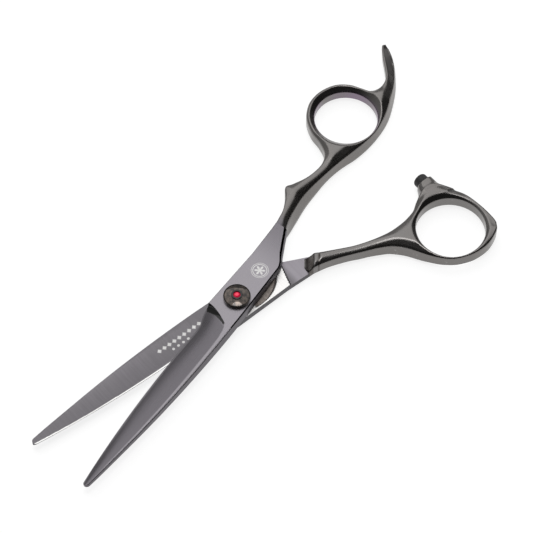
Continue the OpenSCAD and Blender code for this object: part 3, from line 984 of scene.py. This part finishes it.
def root_satin(n):
    """Share of the hub's satin finish that runs a little way onto the handle's top."""
    x, _, z = n.position()
    return n.times(n.times(n.above(x, -34, -29.5), n.level()), n.above(z, 6, 6.2))


def painted_hollow_shade(n):
    """Share of painted shade: a darker colour in the hollow and the crease at the lower handle's root."""
    x, y, _ = n.position()
    along = n.less(x, n.times(n.less(y, ROOT_MIDDLE), ROOT_SLANT))
    hollow = n.times(n.above(along, -28.2, -27.6), n.under(along, -25.4, -24.2))
    crease = n.times(n.above(along, -30.5, -30.2), n.under(along, -29.9, -29.6))
    return n.times(n.math("MAXIMUM", hollow, crease), n.spread(n.noise(700, detail=3), 0.6, 1.0, 0.4, 0.6))


def dress(pieces):
    """Gives every piece and every shown CAD node its material."""
    across, along, turned, even = (120, 5200, 800), (1500, 50, 800), (2500, 2500, 900), (900, 900, 900)
    sheet = (1500, 300, 900)
    materials = {
        "upper_blade": satin_steel("blade_satin", 0.285, across, 0.33, rosette, blade=True, root=0.66),
        "lower_blade": satin_steel(
            "lower_blade_satin", 0.158, along, 0.38, lozenges, blade=True, bare=True, low_tone=0.6,
            root=1.75),
        "finger_handle": polished_steel(
            "finger_handle_gloss", 0.185, 0.055, tint=inner_tint, satin=root_satin),
        "thumb_handle": polished_steel("thumb_handle_gloss", 0.18, 0.05, painted_shade=painted_hollow_shade),
        # The dial's cloudy patches are a painted reflection.
        "dial": polished_steel("dial_gloss", 0.03, 0.2, 0.05, coat=1.0, reflection_mottle=900),
        "stone_cup": polished_steel("cup_gloss", 0.05, 0.0, 0.08),
        "stone": glass("red_glass"),
        "stop_rubber": rubber("stop_rubber"),
        "pivot_screw": satin_steel("screw_steel", 0.45, turned, 0.25, low_tone=0.94),
        "friction_washer": nylon("washer_nylon", 0.8),
        "pivot_bush": nylon("bush_nylon", 0.82),
        "spring_washer": satin_steel("spring_steel", 0.55, even, 0.25),
        "click_plate": satin_steel("click_steel", 0.52, sheet, 0.3),
        "click_spring": satin_steel("leaf_steel", 0.55, sheet, 0.25),
    }
    for name, material in materials.items():
        obj = pieces.get(name) or frame["nodes"][name]
        obj.data.materials.clear()
        obj.data.materials.append(material)


# ---------------------------------------------------------------- stage, light and camera

ELEVATION = 57  # degrees that the camera looks down by
TOWARDS = Vector((0.7346, 0.6785, 0))  # from the shears to the camera, over the floor
AIM = Vector((-17.4, -3.8, 0)) * MM
AWAY = 0.8  # metres from the aim point to the camera
LENS = 174.3


def at(elevation, away):
    """A place on the camera's side of the aim point: degrees over the floor, and metres away."""
    e, a = math.radians(elevation), math.atan2(TOWARDS.y, TOWARDS.x)
    return AIM + Vector((math.cos(a) * math.cos(e), math.sin(a) * math.cos(e), math.sin(e))) * away


def aim(obj):
    """Turns a light or the camera to the aim point."""
    obj.rotation_euler = (AIM - obj.location).to_track_quat("-Z", "Y").to_euler()


def softbox(name, place, shape, width, height, radiance):
    """A flat light that faces the shears; radiance is its brightness in reflections."""
    light = bpy.data.lights.new(name, "AREA")
    light.shape, light.size, light.size_y = shape, width, height
    light.energy = radiance * math.pi * width * height * (math.pi / 4 if shape == "ELLIPSE" else 1)
    obj = bpy.data.objects.new(name, light)
    obj.location = place
    aim(obj)
    obj.visible_camera = False
    bpy.context.scene.collection.objects.link(obj)


def floor():
    """Wide pale floor, which glows a little so that it stays even."""
    half = 6.0
    mesh = bpy.data.meshes.new("floor")
    corners = [(-half, -half, 0), (half, -half, 0), (half, half, 0), (-half, half, 0)]
    mesh.from_pydata(corners, [], [(0, 1, 2, 3)])
    plane = bpy.data.objects.new("floor", mesh)
    bpy.context.scene.collection.objects.link(plane)
    n = Nodes("floor_white")
    mesh.materials.append(n.finish(
        Base_Color=n.blend(n.noise(3), (0.36, 0.36, 0.36, 1), (0.38, 0.38, 0.38, 1)), Roughness=0.9,
        Emission_Color=(1, 1, 1, 1), Emission_Strength=0.82, Specular_IOR_Level=0.0))


def studio():
    """Dim surroundings, brighter on the side away from the camera and to its left."""
    world = bpy.data.worlds.new("studio")
    bpy.context.scene.world = world
    world.use_nodes = True
    tree = world.node_tree
    coords = tree.nodes.new("ShaderNodeTexCoord")
    dot = tree.nodes.new("ShaderNodeVectorMath")
    dot.operation = "DOT_PRODUCT"
    dot.inputs[1].default_value = -0.8 * TOWARDS + 0.6 * Vector((TOWARDS.y, -TOWARDS.x, 0))
    ramp = tree.nodes.new("ShaderNodeMapRange")
    ramp.interpolation_type = "SMOOTHSTEP"
    for key, value in {"From Min": -0.3, "From Max": 0.9, "To Min": 0.03, "To Max": 0.45}.items():
        ramp.inputs[key].default_value = value
    tree.links.new(coords.outputs["Generated"], dot.inputs[0])
    tree.links.new(dot.outputs["Value"], ramp.inputs["Value"])
    tree.links.new(ramp.outputs[0], tree.nodes["Background"].inputs["Color"])


def place_camera():
    """Camera at the angle that the shears are shown from."""
    data = bpy.data.cameras.new("camera")
    data.lens, data.sensor_width = LENS, 36
    data.clip_start, data.clip_end = 0.01, 20
    camera = bpy.data.objects.new("camera", data)
    camera.location = at(ELEVATION, AWAY)
    bpy.context.scene.collection.objects.link(camera)
    aim(camera)
    bpy.context.scene.camera = camera
    bpy.context.scene.view_settings.view_transform = "Standard"


upper_blade, lower_blade = blades()
stone_seat, stone_r = low("gem").z, (high("gem").x - low("gem").x) / 2
dress({
    "upper_blade": upper_blade, "lower_blade": lower_blade, "dial": tension_dial(),
    "stone_cup": stone_cup(stone_seat, stone_r), "stone": cut_stone(stone_seat, stone_r),
    "finger_handle": finger_handle(), "thumb_handle": thumb_handle(), "stop_rubber": rubber_stop()})
floor()
softbox("back_softbox", at(118, 1.4), "RECTANGLE", width=1.8, height=1.5, radiance=1.0)
softbox("key_softbox", at(89, 1.3), "ELLIPSE", width=0.58, height=0.46, radiance=4.4)
studio()
place_camera()
